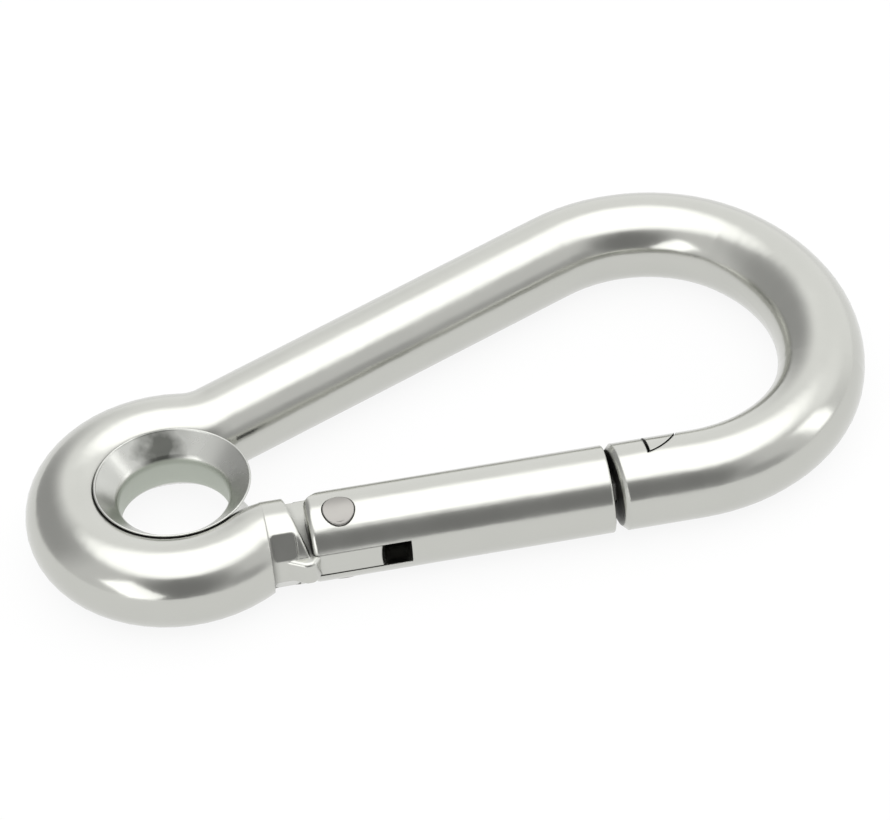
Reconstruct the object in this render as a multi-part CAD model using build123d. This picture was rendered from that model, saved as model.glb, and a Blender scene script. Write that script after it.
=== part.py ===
from build123d import *
import math
import os

# Spring snap hook with eyelet, 10 x 100 mm size, in millimetres.
# Origin: centre of the eyelet bore. +X runs from the eyelet to the bow, along the long axis.
# The hook lies in the XY plane, the gate is on the -Y side, and +Z is the bore's axis.
# "Leg frame" below: u runs along the gate leg from the foot of the square drawn from the
# eye's centre, w runs inwards from the leg's centreline, z is up.

# --- bent bar -------------------------------------------------------------------------
BAR_DIA = 10.0
LENGTH = 100.0
LEG_LEAN = 12.5            # degrees between each straight leg and the long axis
LEG_OFFSET = 8.4           # eye centre square to a leg's centreline
LOOP_RADIUS = 12.0         # centreline of the loop round the eyelet
REVERSE_RADIUS = 6.5       # centreline of the reverse bend between loop and leg
SHOULDER_RADIUS = 18.0     # centreline, where each leg turns into the bow
CROWN_RADIUS = 24.5        # centreline, across the end of the bow
TAIL_LENGTH = 1.0          # straight bar past the last bend

# --- hinge ----------------------------------------------------------------------------
PIVOT_U = 17.5
PIVOT_W = -1.2             # the rivet sits a little outside the bar's centreline
TANG_THICK = 3.0
TANG_FLUSH = 4.75          # half width of the tang where it lies inside the gate
TANG_RADIUS = 4.92         # the tang's edges are as round as the gate, and flush with it
TANG_REACH = 4.5           # from the pivot to the flat end that the plunger rests on
CAM_BASE_RADIUS = 2.0      # plunger travel per radian of gate swing
GATE_SWING = 42.0          # degrees from shut to fully open
NECK_START_U = 9.2         # the neck is straight from here, and leaves a small step in the bend
NECK_END_U = 13.5
NECK_RADIUS = 4.93
NECK_RIM = 0.3             # rounding of that step
SHOULDER_U = 12.0          # top of the steep fall from the round neck to the flat tang
SHOULDER_SLOPE = 78.0      # degrees
SHOULDER_SKEW = 10.0       # degrees, seen from above: the fall is nearer the gate on the outer side
SHOULDER_FOOT_RADIUS = 0.2
SHOULDER_RIM = 0.3         # rounding of the fall's upper edge
DIE_CLEARANCE = 0.5        # the die starts this far above the bar
MARK_U = 10.8              # middle of the flat that the press leaves on the neck's shoulder
MARK_ANGLE = 37.0          # degrees that the flat faces up from sideways
MARK_DEPTH = 0.25
MARK_LENGTH = 2.9
MARK_WIDTH = 3.1
MARK_CORNER = 0.6
FLANGE_START_U = 10.2      # metal squeezed out on the neck's outer side
FLANGE_FULL_U = 12.8
FLANGE_TURN_U = 13.8
FLANGE_END_U = 15.0
FLANGE_ROOT = 4.4          # half width where it starts and ends
FLANGE_REACH = 5.9         # half width where it is widest
FLANGE_CORNER = 0.8
FLANGE_ROUND = 0.45
TANG_CORNER = 0.5          # bevel at the tang's outer corner
CAM_LEAD_OUT = 0.6         # slope from the cam's end to the tang's inner edge
RIVET_RADIUS = 1.5
RIVET_HEAD_RADIUS = 1.8
RIVET_SEAT_Z = 3.9
RIVET_PROUD = 0.12         # its heads are dressed to the gate's round, and stand this much above it
RIVET_RIM = 0.1            # rounding of the heads' rims
PIVOT_CLEARANCE = 0.06     # radial, between the rivet and the tang
SEAT_CLEARANCE = 0.01      # radial, between the rivet and the gate that holds it
HEAD_CLEARANCE = 0.1       # radial, round the heads

# --- gate -----------------------------------------------------------------------------
GATE_START_U = 13.8
GATE_END_U = 48.25
RELIEF_REACH = 4.2         # from the pivot to the slanted face that would meet the shoulder at 46 degrees
OUTER_CORNER = 0.7         # bevel of the gate's outer hinge corner
HINGE_RIM = 0.8            # rounding of the rim at the hinge end
END_ROUND = 0.25           # rounding of the rim at the free end
SLOT_WIDTH = 3.16
SLOT_END_U = 25.0
SPRING_BORE_RADIUS = 1.6
SPRING_BORE_END_U = 38.0
TONGUE_THICK = 2.6
TONGUE_OUTER_W = -0.75
TONGUE_END_U = 54.0        # inside the T-head

# --- nose and the T-shaped catch --------------------------------------------------------
NOSE_INNER_U = 48.4        # end face of the nose at its inner side
NOSE_OUTER_U = 49.4        # and at its outer side
NOSE_CHAMFER = 0.6
NOSE_SLOT_WIDTH = 3.1
NOSE_SLOT_FLOOR_W = -1.05
NOSE_SLOT_END_U = 55.0
CATCH_WALL_RADIUS = 35.4   # the catch's bearing wall, an arc about the pivot
CATCH_ROUND_U = 52.0       # centre of the catch's round back
CATCH_ROUND_W = 4.4
CATCH_ROUND_RADIUS = 5.0
CATCH_WALL_GAP = 0.35
CATCH_BACK_GAP = 0.24

# --- plunger and spring -----------------------------------------------------------------
PLUNGER_RADIUS = 1.5
PLUNGER_GAP = 0.06         # left between the plunger and the tang
PLUNGER_HEAD_LENGTH = 3.5
PLUNGER_CHAMFER = 0.15
STEM_RADIUS = 0.7
STEM_LENGTH = 5.0
WIRE_DIA = 0.6
SPRING_MEAN_RADIUS = 1.2
SPRING_TURNS = 9
SPRING_END_GAP = 0.03

# --- eyelet -------------------------------------------------------------------------------
EYE_RADIUS = 6.2
EYE_LAND = 1.1             # half length of the bore's straight stretch
FLARE_RADIUS = 1.6
FLARE_ANGLE = 46.0         # degrees that the wall turns away from the bore's axis
LIP_RADIUS = 8.95          # the lip's outer edge, just clear of the bar
LIP_Z = 4.15
LIP_CROWN = 0.12           # the lip's rim is domed by this much
LIP_UNDERCUT = 0.4         # how far the edge overhangs
GROOVE_GAP = 0.02          # between the eyelet's groove and the bar

BAR_RADIUS = BAR_DIA / 2
LEAN = math.radians(LEG_LEAN)
ALONG = Vector(math.cos(LEAN), -math.sin(LEAN), 0)
OUTWARD = Vector(-math.sin(LEAN), -math.cos(LEAN), 0)
LEG = Plane(origin=OUTWARD * LEG_OFFSET, x_dir=ALONG, z_dir=(0, 0, 1))
LEG_SIDE = Plane(origin=OUTWARD * LEG_OFFSET, x_dir=ALONG, z_dir=OUTWARD)
OVERCUT = 8.0              # reach of every cutter beyond the bar
SINK = 0.5                 # how far joined shapes run into each other


def leg_point(u, w):
    """A point of the leg frame, in the part's own frame."""
    return LEG.from_local_coords(Vector(u, w, 0))


def leg_cylinder(start_u, end_u, radius):
    """A round bar on the gate leg's centreline."""
    section = Plane(origin=leg_point(start_u, 0), z_dir=ALONG) * Circle(radius)
    return extrude(section, end_u - start_u)


def leg_prism(outline, half_height):
    """A leg-frame outline made as thick as asked, half above and half below."""
    return extrude(LEG * outline, half_height, both=True)


def leg_box(start_u, end_u, low_w, high_w, half_height):
    """A block in the leg frame, centred on z = 0."""
    centre = Pos((start_u + end_u) / 2, (low_w + high_w) / 2)
    return leg_prism(centre * Rectangle(end_u - start_u, high_w - low_w), half_height)


def bar_centreline():
    """From the nose round the bow, down the spine, round the eyelet and up to the hinge."""
    crown_x = LENGTH - LOOP_RADIUS - BAR_DIA - CROWN_RADIUS
    crown_u = crown_x * math.cos(LEAN)
    crown_w = LEG_OFFSET + crown_x * math.sin(LEAN)
    rise = crown_w - SHOULDER_RADIUS
    run = math.sqrt((CROWN_RADIUS - SHOULDER_RADIUS) ** 2 - rise ** 2)
    straight_end = crown_u + run
    crown_half = LEG_LEAN + math.degrees(math.atan2(rise, run))
    shoulder_turn = 90 + LEG_LEAN - crown_half

    reverse_u = math.sqrt((LOOP_RADIUS + REVERSE_RADIUS) ** 2 - (LEG_OFFSET + REVERSE_RADIUS) ** 2)
    reverse_turn = math.degrees(math.atan2(reverse_u, LEG_OFFSET + REVERSE_RADIUS))
    loop_turn = 180 - 2 * LEG_LEAN + 2 * reverse_turn

    nose = Line(leg_point(GATE_END_U, 0), leg_point(straight_end, 0))
    path = [nose]
    for radius, turn in ((SHOULDER_RADIUS, shoulder_turn), (CROWN_RADIUS, 2 * crown_half),
                         (SHOULDER_RADIUS, shoulder_turn)):
        path.append(JernArc(path[-1] @ 1, path[-1] % 1, radius, turn))
    spine_length = straight_end - reverse_u
    path.append(Line(path[-1] @ 1, path[-1] @ 1 + (path[-1] % 1) * spine_length))
    for radius, turn in ((REVERSE_RADIUS, -reverse_turn), (LOOP_RADIUS, loop_turn),
                         (REVERSE_RADIUS, -reverse_turn)):
        path.append(JernArc(path[-1] @ 1, path[-1] % 1, radius, turn))
    path.append(Line(path[-1] @ 1, path[-1] @ 1 + (path[-1] % 1) * TAIL_LENGTH))
    return Wire(path)


def pressing_die():
    """What the press takes off the round neck above and below the flat tang."""
    half = TANG_THICK / 2
    top = BAR_RADIUS + DIE_CLEARANCE
    start_u = SHOULDER_U - DIE_CLEARANCE / math.tan(math.radians(SHOULDER_SLOPE))
    foot_u = start_u + (top - half) / math.tan(math.radians(SHOULDER_SLOPE))
    fall = FilletPolyline((start_u, top), (foot_u, half), (PIVOT_U, half), radius=SHOULDER_FOOT_RADIUS)
    side = fall + Polyline(fall @ 1, (PIVOT_U, top), fall @ 0)
    upper = extrude(LEG_SIDE * make_face(side), OVERCUT, both=True)
    upper = upper.rotate(Axis(leg_point(SHOULDER_U, 0), (0, 0, 1)), SHOULDER_SKEW)
    return upper + mirror(upper, Plane.XY)


def press_mark():
    """Flat-bottomed mark on the neck, facing outwards and up, and the same mark below."""
    tilt = math.radians(MARK_ANGLE)
    facing = OUTWARD * math.cos(tilt) + Vector(0, 0, math.sin(tilt))
    middle = leg_point(MARK_U, 0) + facing * (NECK_RADIUS - MARK_DEPTH)
    floor = Plane(origin=middle, x_dir=ALONG, z_dir=facing)
    upper = extrude(floor * RectangleRounded(MARK_LENGTH, MARK_WIDTH, MARK_CORNER), OVERCUT)
    return upper + mirror(upper, Plane.XY)


def neck():
    """Straight round end of the bar, with the fall to the tang and the press marks."""
    start_u = NECK_START_U - NECK_RIM
    solid = leg_cylinder(start_u, NECK_END_U, NECK_RADIUS)
    rims = solid.edges().filter_by(GeomType.CIRCLE).sort_by(Axis(leg_point(0, 0), ALONG))
    solid = fillet(rims[0], NECK_RIM) - pressing_die()
    falls = [edge for edge in solid.edges() if abs((edge @ 0.5).Z) > TANG_THICK
             and abs(LEG.to_local_coords(edge @ 0.5).X - SHOULDER_U) < NECK_RIM]
    return fillet(falls, SHOULDER_RIM) - press_mark()


def cam_point(angle):
    """Tang end in pivot coordinates: an involute, so the plunger moves in step with the gate."""
    reach = TANG_REACH + CAM_BASE_RADIUS * angle
    u = reach * math.cos(angle) - CAM_BASE_RADIUS * math.sin(angle)
    w = reach * math.sin(angle) + CAM_BASE_RADIUS * math.cos(angle)
    return (PIVOT_U + u, PIVOT_W + w)


def tang():
    """Flat pressed end of the bar, with the pivot hole and the cam that the plunger rides on."""
    full_swing = math.radians(GATE_SWING)
    cam = Spline([cam_point(full_swing * step / 4) for step in range(5)],
                 tangents=((0, 1), (-math.sin(full_swing), math.cos(full_swing))))
    end_u = PIVOT_U + TANG_REACH
    cam_end_u, cam_end_w = cam_point(full_swing)
    blade_u = NECK_END_U - SINK
    edge = Polyline((cam_end_u, cam_end_w), (cam_end_u - CAM_LEAD_OUT, TANG_RADIUS), (blade_u, TANG_RADIUS),
                    (blade_u, -TANG_RADIUS), (end_u - TANG_CORNER, -TANG_RADIUS),
                    (end_u, TANG_CORNER - TANG_FLUSH), (end_u, cam_point(0)[1]))
    blade = leg_prism(make_face(cam + edge), TANG_THICK / 2) & leg_cylinder(blade_u, end_u, TANG_RADIUS)
    hole = Pos(PIVOT_U, PIVOT_W) * Circle(RIVET_RADIUS + PIVOT_CLEARANCE)
    return blade + flange(), leg_prism(hole, OVERCUT)


def flange():
    """Metal that the press has squeezed out on the outer side of the neck."""
    outline = Polyline((FLANGE_START_U, 0), (FLANGE_START_U, -FLANGE_ROOT), (FLANGE_FULL_U, -FLANGE_REACH),
                       (FLANGE_TURN_U, -FLANGE_REACH), (FLANGE_END_U, -FLANGE_ROOT), (FLANGE_END_U, 0),
                       close=True)
    plate = leg_prism(make_face(outline), TANG_THICK / 2)
    corners = plate.edges().filter_by(Axis.Z).sort_by(Axis(leg_point(0, 0), OUTWARD))[-2:]
    plate = fillet(corners, FLANGE_CORNER)
    rims = [edge for edge in plate.edges() if abs(edge.tangent_at(0.5).Z) < 0.1
            and LEG.to_local_coords(edge @ 0.5).Y < -FLANGE_ROOT]
    return fillet(rims, FLANGE_ROUND)


def catch_outline(wall_gap, back_gap):
    """Half-round T-head seen from above: a disc cut by an arc about the pivot."""
    disc = Pos(CATCH_ROUND_U, CATCH_ROUND_W) * Circle(CATCH_ROUND_RADIUS - back_gap)
    return disc - Pos(PIVOT_U, PIVOT_W) * Circle(CATCH_WALL_RADIUS + wall_gap)


def nose_cutter():
    """Slanted end face of the nose: everything on the gate's side of it."""
    slope = (NOSE_OUTER_U - NOSE_INNER_U) / BAR_DIA
    middle_u = (NOSE_OUTER_U + NOSE_INNER_U) / 2
    outline = Polyline((middle_u - slope * OVERCUT, OVERCUT), (middle_u + slope * OVERCUT, -OVERCUT),
                       (GATE_START_U, -OVERCUT), (GATE_START_U, OVERCUT), close=True)
    return leg_prism(make_face(outline), OVERCUT)


def hook_body():
    """Bent round bar with its pressed tang, slotted nose and catch."""
    path = bar_centreline()
    bar = sweep(Plane(origin=path @ 0, z_dir=path % 0) * Circle(BAR_RADIUS), path)
    bar = bar - nose_cutter()
    nose_face = bar.faces().sort_by_distance(leg_point(NOSE_INNER_U, 0))[0]
    bar = chamfer(nose_face.edges(), NOSE_CHAMFER)
    bar = bar - leg_prism(catch_outline(0, 0), OVERCUT)
    bar = bar - leg_box(GATE_END_U, NOSE_SLOT_END_U, NOSE_SLOT_FLOOR_W, OVERCUT, NOSE_SLOT_WIDTH / 2)
    bar = bar - leg_box(NECK_START_U, PIVOT_U, -OVERCUT, OVERCUT, OVERCUT)
    blade, hole = tang()
    return (bar + neck() + blade - hole).solid()


def hinge_cutter():
    """Slants off the gate's hinge end on the inner side, and bevels its outer corner."""
    relief = Pos(PIVOT_U, PIVOT_W) * Rot(0, 0, 180 - GATE_SWING) * Pos(RELIEF_REACH + OVERCUT / 2, 0)
    bevel = Polyline((GATE_START_U - SINK, OUTER_CORNER + SINK - BAR_RADIUS), (GATE_START_U - SINK, -OVERCUT),
                     (GATE_START_U + OUTER_CORNER + SINK, -BAR_RADIUS - SINK), close=True)
    waste = relief * Rectangle(OVERCUT, 3 * OVERCUT)
    return leg_prism(waste, OVERCUT) + leg_prism(make_face(bevel), OVERCUT)


def gate():
    """Round gate bar: forked hinge end, spring bore, tongue and T-head."""
    barrel = leg_cylinder(GATE_START_U, GATE_END_U, BAR_RADIUS)
    rims = barrel.edges().filter_by(GeomType.CIRCLE).sort_by(Axis(leg_point(0, 0), ALONG))
    barrel = fillet(rims[-1], END_ROUND)
    rims = barrel.edges().filter_by(GeomType.CIRCLE).sort_by(Axis(leg_point(0, 0), ALONG))
    barrel = fillet(rims[0], HINGE_RIM)
    barrel = barrel - hinge_cutter()
    barrel = barrel - leg_box(GATE_START_U - SINK, SLOT_END_U, -OVERCUT, OVERCUT, SLOT_WIDTH / 2)
    barrel = barrel - leg_cylinder(SLOT_END_U - SINK, SPRING_BORE_END_U, SPRING_BORE_RADIUS)

    tongue = leg_box(GATE_END_U - SINK, TONGUE_END_U, TONGUE_OUTER_W, OVERCUT, TONGUE_THICK / 2)
    head = leg_prism(catch_outline(CATCH_WALL_GAP, CATCH_BACK_GAP), OVERCUT)
    reach = leg_cylinder(GATE_END_U - SINK, CATCH_ROUND_U + CATCH_ROUND_RADIUS, BAR_RADIUS)
    body = barrel + (reach & (tongue + head))

    shank = Pos(PIVOT_U, PIVOT_W) * Circle(RIVET_RADIUS + SEAT_CLEARANCE)
    seat = Pos(PIVOT_U, PIVOT_W) * Circle(RIVET_HEAD_RADIUS + HEAD_CLEARANCE)
    heads = extrude(Plane(LEG.origin + Vector(0, 0, RIVET_SEAT_Z), LEG.x_dir, LEG.z_dir) * seat, OVERCUT)
    return (body - leg_prism(shank, OVERCUT) - heads - mirror(heads, Plane.XY)).solid()


def pivot_rivet():
    """Rivet whose two heads are dressed to the round of the gate."""
    place = Pos(leg_point(PIVOT_U, PIVOT_W))
    head = place * Pos(0, 0, RIVET_SEAT_Z) * extrude(Circle(RIVET_HEAD_RADIUS), OVERCUT)
    head = head & leg_cylinder(PIVOT_U - BAR_RADIUS, PIVOT_U + BAR_RADIUS, BAR_RADIUS + RIVET_PROUD)
    rim = head.edges().sort_by(Axis.Z)[-1]
    head = fillet(rim, RIVET_RIM)
    shank = place * extrude(Circle(RIVET_RADIUS), RIVET_SEAT_Z + SINK, both=True)
    return (shank + head + mirror(head, Plane.XY)).solid()


def spring_plunger():
    """Headed pin that carries the spring and rests on the tang's cam."""
    face_u = PIVOT_U + TANG_REACH + PLUNGER_GAP
    head_end = face_u + PLUNGER_HEAD_LENGTH
    head = leg_cylinder(face_u, head_end, PLUNGER_RADIUS)
    head = chamfer(head.edges(), PLUNGER_CHAMFER)
    stem = leg_cylinder(head_end - SINK, head_end + STEM_LENGTH, STEM_RADIUS)
    return (head + stem).solid()


def gate_spring():
    """Helical compression spring between the plunger's head and the end of its bore."""
    start = PIVOT_U + TANG_REACH + PLUNGER_GAP + PLUNGER_HEAD_LENGTH + SPRING_END_GAP + WIRE_DIA / 2
    height = SPRING_BORE_END_U - SPRING_END_GAP - WIRE_DIA / 2 - start
    pitch = height / SPRING_TURNS
    coil = Helix(pitch, height, SPRING_MEAN_RADIUS, center=leg_point(start, 0), direction=ALONG)
    section = Plane(origin=coil @ 0, z_dir=coil % 0) * Circle(WIRE_DIA / 2)
    return sweep(section, coil, is_frenet=True).solid()


def eyelet():
    """Thimble with flared lips whose outer groove seats the bent bar."""
    flare = math.radians(FLARE_ANGLE)
    groove = BAR_RADIUS + GROOVE_GAP
    flare_middle, flare_end = [(EYE_RADIUS + FLARE_RADIUS * (1 - math.cos(turn)),
                                EYE_LAND + FLARE_RADIUS * math.sin(turn)) for turn in (flare / 2, flare)]
    cone_end = (flare_end[0] + (LIP_Z - flare_end[1]) * math.tan(flare), LIP_Z)
    lip_top = ((cone_end[0] + LIP_RADIUS) / 2, LIP_Z + LIP_CROWN)
    seat_radius = LIP_RADIUS - LIP_UNDERCUT
    seat = (seat_radius, math.sqrt(groove ** 2 - (LOOP_RADIUS - seat_radius) ** 2))
    half_wrap = math.asin(seat[1] / groove) / 2
    groove_middle = (LOOP_RADIUS - groove * math.cos(half_wrap), groove * math.sin(half_wrap))
    upper = (Line((EYE_RADIUS, 0), (EYE_RADIUS, EYE_LAND))
             + ThreePointArc((EYE_RADIUS, EYE_LAND), flare_middle, flare_end)
             + Line(flare_end, cone_end)
             + ThreePointArc(cone_end, lip_top, (LIP_RADIUS, LIP_Z))
             + Line((LIP_RADIUS, LIP_Z), seat)
             + ThreePointArc(seat, groove_middle, (LOOP_RADIUS - groove, 0))
             + Line((LOOP_RADIUS - groove, 0), (EYE_RADIUS, 0)))
    half = revolve(Plane.XZ * make_face(upper), Axis.Z)
    return (half + mirror(half, Plane.XY)).solid()


os.makedirs("parts", exist_ok=True)
for make in (hook_body, eyelet, gate, pivot_rivet, gate_spring, spring_plunger):
    export_step(make(), f"parts/{make.__name__}.step")
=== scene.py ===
import math

import bpy
from mathutils import Matrix, Vector

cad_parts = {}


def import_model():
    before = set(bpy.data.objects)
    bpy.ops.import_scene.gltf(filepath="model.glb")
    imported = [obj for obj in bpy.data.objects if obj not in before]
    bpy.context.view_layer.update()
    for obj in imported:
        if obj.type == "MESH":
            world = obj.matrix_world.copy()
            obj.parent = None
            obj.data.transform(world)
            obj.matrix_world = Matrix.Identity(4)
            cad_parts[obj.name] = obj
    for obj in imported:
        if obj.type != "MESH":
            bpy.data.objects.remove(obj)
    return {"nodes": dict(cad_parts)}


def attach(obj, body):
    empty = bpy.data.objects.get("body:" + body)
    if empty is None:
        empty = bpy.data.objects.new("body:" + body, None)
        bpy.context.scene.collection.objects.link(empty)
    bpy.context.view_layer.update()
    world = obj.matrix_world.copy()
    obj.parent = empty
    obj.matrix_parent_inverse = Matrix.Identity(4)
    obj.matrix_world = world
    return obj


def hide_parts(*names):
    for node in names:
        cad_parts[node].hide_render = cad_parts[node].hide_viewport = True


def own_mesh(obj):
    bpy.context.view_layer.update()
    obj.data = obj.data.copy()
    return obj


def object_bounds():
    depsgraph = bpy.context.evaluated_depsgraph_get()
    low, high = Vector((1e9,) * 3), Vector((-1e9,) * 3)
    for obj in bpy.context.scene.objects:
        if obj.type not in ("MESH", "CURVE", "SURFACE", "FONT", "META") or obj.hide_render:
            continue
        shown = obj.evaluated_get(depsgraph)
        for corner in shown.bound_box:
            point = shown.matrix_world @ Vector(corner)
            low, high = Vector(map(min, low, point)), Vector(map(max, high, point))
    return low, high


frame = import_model()
cad_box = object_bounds()
MM = 0.001

# --- driving values ---------------------------------------------------------------------
# Colours are linear RGB. Lengths are in millimetres, angles in degrees, noise scales per metre.
# Radiance is relative to a white floor in full light.

STEEL = (0.565, 0.568, 0.534)
EYELET_STEEL = (0.60, 0.605, 0.575)
RIVET_STEEL = (0.34, 0.33, 0.312)
SPRING_STEEL = (0.45, 0.45, 0.43)
PLUNGER_STEEL = (0.10, 0.10, 0.10)
# painted shade: dark colour mixed in deep in gaps and corners, where shade falls
GAP_SHADE = (0.05, 0.05, 0.045)

TINT_SHARE = 0.94                     # the darker patches have this share of the colour
NOISE_LOW, NOISE_HIGH = 0.3, 0.7      # nearly all of a noise texture lies between these
PATCH_SCALE = 160.0                   # uneven polish
WAVE_SCALE = 260.0                    # waviness left by bending and polishing
WAVE_HEIGHT = 0.04
SCRATCH_SCALE = (250.0, 3500.0, 3500.0)  # much finer across the hook than along it
SCRATCH_HEIGHT = 0.004
GAP_SHADE_FROM, GAP_SHADE_TO = 0.3, 0.85      # openness of a spot, from full painted shade to none
GAP_SHADE_ROUGHNESS = 0.35                # added where the painted shade is full

# painted reflection: darker, greener colour of the bore wall, standing in for the grey-green surroundings it
# mirrors
BORE_PAINTED_REFLECTION = (0.49, 0.52, 0.465)
BORE_ROUGHNESS = 0.5
BORE_INNER, BORE_OUTER = 6.3, 6.45    # radii between which the eyelet turns from the rough wall with its painted reflection to the polished flare
# painted reflection: an uneven dark patch on the eyelet's flare, standing in for the dark camera side that it
# mirrors
DARK_REFLECTION = (0.17, 0.175, 0.16)
DARK_REFLECTION_PLACE = (0.9, 7.3, 3.1)        # on the eyelet's flare, from the eye's centre
DARK_REFLECTION_INNER, DARK_REFLECTION_OUTER = 1.2, 3.3
DARK_REFLECTION_NOISE_SCALE = 420.0
DARK_REFLECTION_RAGGED = 4.0                   # how far the noise moves the painted reflection's edge
DARK_REFLECTION_SHIFT = 2.0                    # the same, on average

FLOOR_HALF = 2500.0
FLOOR_GAP = 0.01                      # below the hook
FLOOR_GREY = (0.09, 0.09, 0.09)
FLOOR_ROUGHNESS = 0.9
FLOOR_GLOW = 0.90

ROOM_LIGHT = 0.84
# azimuth and elevation of the middle, inner and outer reach, radiance
ROOM = [
    (60, 12, 30, 75, 1.16),           # bright wall beyond the spine
    (125, 18, 15, 50, 0.46),          # dark corner of it, behind the eye
    (-60, 8, 4, 18, 0.52),            # dark patch low before the gate
    (-106, 25, 8, 46, 0.28),          # dark side, round the camera
    (12, 44, 4, 26, 1.25),            # glow beyond the bow
    (12, 87.5, 28.5, 42, 2.0),        # wide light overhead
]

CAMERA_SENSOR = 36.0
CAMERA_CLIP = 10.0                    # nearest thing that it can show
CAMERA_OFFSET = (0.773, 1.724, 0.0)   # of the point it looks at, from the middle of the hook
CAMERA_AZIMUTH = -109.25
CAMERA_ELEVATION = 42.2486
CAMERA_ROLL = -4.82
CAMERA_DISTANCE = 687.92
CAMERA_LENS = 242.697


# --- materials --------------------------------------------------------------------------

def tree_of(material):
    """Nodes, links and shader of a material."""
    nodes = material.node_tree.nodes
    return nodes, material.node_tree.links, nodes["Principled BSDF"]


def part_place(nodes):
    """Position on the part, in metres."""
    return nodes.new("ShaderNodeTexCoord").outputs["Object"]


def noise(nodes, links, vector, scale, detail):
    """Noise texture output, with that many octaves of detail."""
    texture = nodes.new("ShaderNodeTexNoise")
    texture.inputs["Scale"].default_value = scale
    texture.inputs["Detail"].default_value = detail
    links.new(vector, texture.inputs["Vector"])
    return texture.outputs["Fac"]


def remap(nodes, links, value, low, high, to_low, to_high):
    """Linear map of value, clamped."""
    node = nodes.new("ShaderNodeMapRange")
    for key, number in (("From Min", low), ("From Max", high), ("To Min", to_low), ("To Max", to_high)):
        node.inputs[key].default_value = number
    links.new(value, node.inputs["Value"])
    return node.outputs["Result"]


def scale_and_add(nodes, links, value, factor, addend):
    """value * factor + addend."""
    node = nodes.new("ShaderNodeMath")
    node.operation = "MULTIPLY_ADD"
    links.new(value, node.inputs[0])
    node.inputs[1].default_value = factor
    links.new(addend, node.inputs[2])
    return node.outputs["Value"]


def mix_colours(nodes, links, factor, first, second):
    """Colour mix. Each of the two is a colour or an output."""
    node = nodes.new("ShaderNodeMix")
    node.data_type = "RGBA"
    links.new(factor, node.inputs["Factor"])
    for key, colour in (("A", first), ("B", second)):
        if isinstance(colour, tuple):
            node.inputs[key].default_value = (*colour, 1)
        else:
            links.new(colour, node.inputs[key])
    return node.outputs["Result"]


def mix_numbers(nodes, links, factor, first, second):
    """Mix of an output and a number."""
    node = nodes.new("ShaderNodeMix")
    node.data_type = "FLOAT"
    links.new(factor, node.inputs["Factor"])
    links.new(first, node.inputs["A"])
    node.inputs["B"].default_value = second
    return node.outputs["Result"]


def bump(nodes, links, height, depth, strength, normal):
    """Normal output of a bump that is depth millimetres high."""
    node = nodes.new("ShaderNodeBump")
    node.inputs["Strength"].default_value = strength
    node.inputs["Distance"].default_value = depth * MM
    links.new(height, node.inputs["Height"])
    links.new(normal, node.inputs["Normal"])
    return node.outputs["Normal"]


def steel(name, colour, roughness, wear=0.05, brushed=0.25, dents=0.5, gap_shade=0.6, gap_shade_reach=0.9, edge=0.12):
    """Polished steel: uneven polish, fine scratches, slight waviness, painted shade (dark colour) in the
    gaps, soft edges.

    wear is how far the roughness varies, brushed and dents are the strength of the scratches and the waves,
    gap_shade is the share of painted shade deep in a gap that is gap_shade_reach wide, and edge is how far
    the edges look rounded.
    """
    material = bpy.data.materials.new(name)
    material.use_nodes = True
    nodes, links, shader = tree_of(material)
    shader.inputs["Metallic"].default_value = 1.0
    place = part_place(nodes)
    patches = noise(nodes, links, place, PATCH_SCALE, 5.0)

    # painted shade: ambient occlusion darkens the colour deep in gaps and corners, and also makes it rougher
    # there
    openness = nodes.new("ShaderNodeAmbientOcclusion")
    openness.inputs["Distance"].default_value = gap_shade_reach * MM
    openness.samples = 8
    gap_shade_mask = remap(nodes, links, openness.outputs["AO"], GAP_SHADE_FROM, GAP_SHADE_TO, gap_shade, 0.0)
    polish = mix_colours(nodes, links, patches, tuple(TINT_SHARE * c for c in colour), colour)
    links.new(mix_colours(nodes, links, gap_shade_mask, polish, GAP_SHADE), shader.inputs["Base Color"])

    polished = remap(nodes, links, patches, NOISE_LOW, NOISE_HIGH, roughness - wear, roughness + wear)
    rough = scale_and_add(nodes, links, gap_shade_mask, GAP_SHADE_ROUGHNESS, polished)
    links.new(rough, shader.inputs["Roughness"])

    stretch = nodes.new("ShaderNodeMapping")
    stretch.inputs["Scale"].default_value = SCRATCH_SCALE
    links.new(place, stretch.inputs["Vector"])
    scratches = noise(nodes, links, stretch.outputs["Vector"], 1.0, 3.0)
    waves = noise(nodes, links, place, WAVE_SCALE, 2.0)
    soft = nodes.new("ShaderNodeBevel")
    soft.samples = 4
    soft.inputs["Radius"].default_value = edge * MM
    wavy = bump(nodes, links, waves, WAVE_HEIGHT, dents, soft.outputs["Normal"])
    links.new(bump(nodes, links, scratches, SCRATCH_HEIGHT, brushed, wavy), shader.inputs["Normal"])
    return material


def paint_dark_reflection(material):
    """Painted reflection on the eyelet's flare: an uneven darker patch where it mirrors the dark side round
    the camera.
    """
    nodes, links, shader = tree_of(material)
    base = shader.inputs["Base Color"]
    place = part_place(nodes)
    away = nodes.new("ShaderNodeVectorMath")
    away.operation = "DISTANCE"
    links.new(place, away.inputs[0])
    away.inputs[1].default_value = [c * MM for c in DARK_REFLECTION_PLACE]
    ragged = noise(nodes, links, place, DARK_REFLECTION_NOISE_SCALE, 3.0)
    uneven = scale_and_add(nodes, links, ragged, DARK_REFLECTION_RAGGED * MM, away.outputs["Value"])
    inner, outer = ((reach + DARK_REFLECTION_SHIFT) * MM for reach in (DARK_REFLECTION_INNER, DARK_REFLECTION_OUTER))
    reflection_mask = remap(nodes, links, uneven, inner, outer, 1.0, 0.0)
    # painted reflection: darkens the flare's colour inside the ragged patch
    links.new(mix_colours(nodes, links, reflection_mask, base.links[0].from_socket, DARK_REFLECTION), base)


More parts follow.
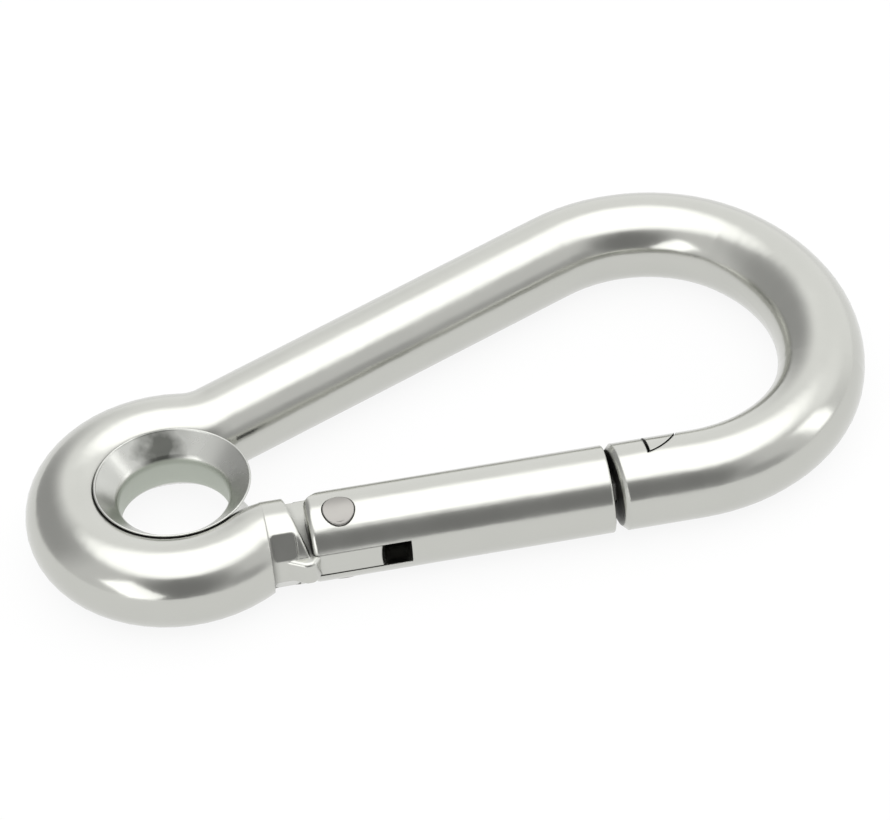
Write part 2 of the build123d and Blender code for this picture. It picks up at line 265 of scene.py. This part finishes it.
def rough_bore_with_painted_reflection(material):
    """Makes the eyelet's wall rougher than its flare, and paints it darker and greener: a painted reflection
    of the grey-green surroundings.
    """
    nodes, links, shader = tree_of(material)
    split = nodes.new("ShaderNodeSeparateXYZ")
    links.new(part_place(nodes), split.inputs["Vector"])
    flat = nodes.new("ShaderNodeCombineXYZ")
    links.new(split.outputs["X"], flat.inputs["X"])
    links.new(split.outputs["Y"], flat.inputs["Y"])
    radius = nodes.new("ShaderNodeVectorMath")
    radius.operation = "LENGTH"
    links.new(flat.outputs["Vector"], radius.inputs[0])
    inside = remap(nodes, links, radius.outputs["Value"], BORE_INNER * MM, BORE_OUTER * MM, 1.0, 0.0)
    base, rough = shader.inputs["Base Color"], shader.inputs["Roughness"]
    # painted reflection of the grey-green surroundings on the bore wall; the higher roughness is the wall's
    # own
    links.new(mix_colours(nodes, links, inside, base.links[0].from_socket, BORE_PAINTED_REFLECTION), base)
    links.new(mix_numbers(nodes, links, inside, rough.links[0].from_socket, BORE_ROUGHNESS), rough)


# --- objects ----------------------------------------------------------------------------

def add(obj):
    bpy.context.scene.collection.objects.link(obj)
    return obj


def spring(look):
    """The spring again, as a separate piece with its own mesh, carried by the gate."""
    piece = add(bpy.data.objects.new("compression_spring", frame["nodes"]["gate_spring"].data.copy()))
    piece.data.materials.clear()
    piece.data.materials.append(look)
    # the spring lies aslant in its box, which its thickness makes longer
    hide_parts("gate_spring")
    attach(piece, "gate")
    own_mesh(piece)


def floor():
    """Pale ground that glows a little, so that the shadow under the hook stays faint."""
    half = FLOOR_HALF * MM
    low = cad_box[0][2] - FLOOR_GAP * MM
    corners = [(-half, -half, low), (half, -half, low), (half, half, low), (-half, half, low)]
    mesh = bpy.data.meshes.new("floor")
    mesh.from_pydata(corners, [], [(0, 1, 2, 3)])
    material = bpy.data.materials.new("floor")
    material.use_nodes = True
    shader = tree_of(material)[2]
    shader.inputs["Base Color"].default_value = (*FLOOR_GREY, 1)
    shader.inputs["Roughness"].default_value = FLOOR_ROUGHNESS
    shader.inputs["Specular IOR Level"].default_value = 0.0
    shader.inputs["Emission Color"].default_value = (1, 1, 1, 1)
    shader.inputs["Emission Strength"].default_value = FLOOR_GLOW
    mesh.materials.append(material)
    add(bpy.data.objects.new("floor", mesh))


# --- light and camera -------------------------------------------------------------------

def towards(azimuth, elevation):
    """Unit vector in that direction. Azimuth is counted from +X towards +Y."""
    az, el = math.radians(azimuth), math.radians(elevation)
    return Vector((math.cos(el) * math.cos(az), math.cos(el) * math.sin(az), math.sin(el)))


def looking_back(offset, azimuth, elevation, distance, roll):
    """Matrix of something that stands in that direction and looks back at a point, offset from the middle."""
    aim = sum((Vector(corner) for corner in cad_box), Vector()) / 2 + Vector(offset) * MM
    direction = towards(azimuth, elevation)
    turn = direction.to_track_quat("Z", "Y").to_matrix().to_4x4()
    return Matrix.Translation(aim + direction * distance) @ turn @ Matrix.Rotation(math.radians(roll), 4, "Z")


def softbox(name, azimuth, elevation, distance, width, height, radiance, roll=0.0):
    """Rectangular area light that faces the hook. Its distance and size are in metres here.

    Radiance is what a mirror shows of it.
    """
    light = bpy.data.lights.new(name, "AREA")
    light.shape = "RECTANGLE"
    light.size, light.size_y = width, height
    light.energy = radiance * math.pi * width * height
    obj = add(bpy.data.objects.new(name, light))
    obj.matrix_world = looking_back((0, 0, 0), azimuth, elevation, distance, roll)


def world():
    """Studio room: an even wall with soft bright and dark patches, and a wide light overhead."""
    room = bpy.data.worlds.new("studio")
    bpy.context.scene.world = room
    room.use_nodes = True
    nodes, links = room.node_tree.nodes, room.node_tree.links
    direction = nodes.new("ShaderNodeTexCoord").outputs["Generated"]
    level = nodes.new("ShaderNodeValue").outputs["Value"]
    level.default_value = ROOM_LIGHT
    for azimuth, elevation, inner, outer, radiance in ROOM:
        cosine = nodes.new("ShaderNodeVectorMath")
        cosine.operation = "DOT_PRODUCT"
        links.new(direction, cosine.inputs[0])
        cosine.inputs[1].default_value = towards(azimuth, elevation)
        patch = nodes.new("ShaderNodeMapRange")
        patch.interpolation_type = "SMOOTHSTEP"
        patch.inputs["From Min"].default_value = math.cos(math.radians(outer))
        patch.inputs["From Max"].default_value = math.cos(math.radians(inner))
        links.new(cosine.outputs["Value"], patch.inputs["Value"])
        level = mix_numbers(nodes, links, patch.outputs["Result"], level, radiance)
    links.new(level, nodes["Background"].inputs["Strength"])
    nodes["Background"].inputs["Color"].default_value = (1, 1, 1, 1)


def camera():
    """Camera at the photograph's angle."""
    data = bpy.data.cameras.new("camera")
    data.lens = CAMERA_LENS
    data.sensor_width = CAMERA_SENSOR
    data.clip_start = CAMERA_CLIP * MM
    obj = add(bpy.data.objects.new("camera", data))
    distance = CAMERA_DISTANCE * MM
    obj.matrix_world = looking_back(CAMERA_OFFSET, CAMERA_AZIMUTH, CAMERA_ELEVATION, distance, CAMERA_ROLL)
    bpy.context.scene.camera = obj


# --- scene ------------------------------------------------------------------------------

looks = {
    "hook_body": steel("polished bar", STEEL, 0.17, dents=0.8, gap_shade=0.9, gap_shade_reach=1.4, edge=0.22),
    "eyelet": steel("eyelet steel", EYELET_STEEL, 0.26, wear=0.08, brushed=0.06, dents=1.0, gap_shade=0.4,
                    gap_shade_reach=0.8, edge=0.1),
    "gate": steel("polished gate", STEEL, 0.17, dents=0.8, gap_shade=0.95, gap_shade_reach=1.4),
    "pivot_rivet": steel("rivet steel", RIVET_STEEL, 0.36, wear=0.08, dents=1.0),
    "gate_spring": steel("spring wire", SPRING_STEEL, 0.3, gap_shade=0.9, gap_shade_reach=3.0),
    "spring_plunger": steel("plunger steel", PLUNGER_STEEL, 0.45, wear=0.08, gap_shade=0.9, gap_shade_reach=3.0),
}
paint_dark_reflection(looks["eyelet"])
rough_bore_with_painted_reflection(looks["eyelet"])
for name, node in frame["nodes"].items():
    node.data.materials.clear()
    node.data.materials.append(looks[name])

spring(looks["gate_spring"])
floor()
world()
softbox("left_strip", -144, 14, 0.6, width=0.26, height=0.44, radiance=1.40, roll=45)
softbox("right_strip", -22, 21, 0.6, width=0.16, height=0.34, radiance=1.3)
camera()
bpy.context.scene.view_settings.view_transform = "Standard"
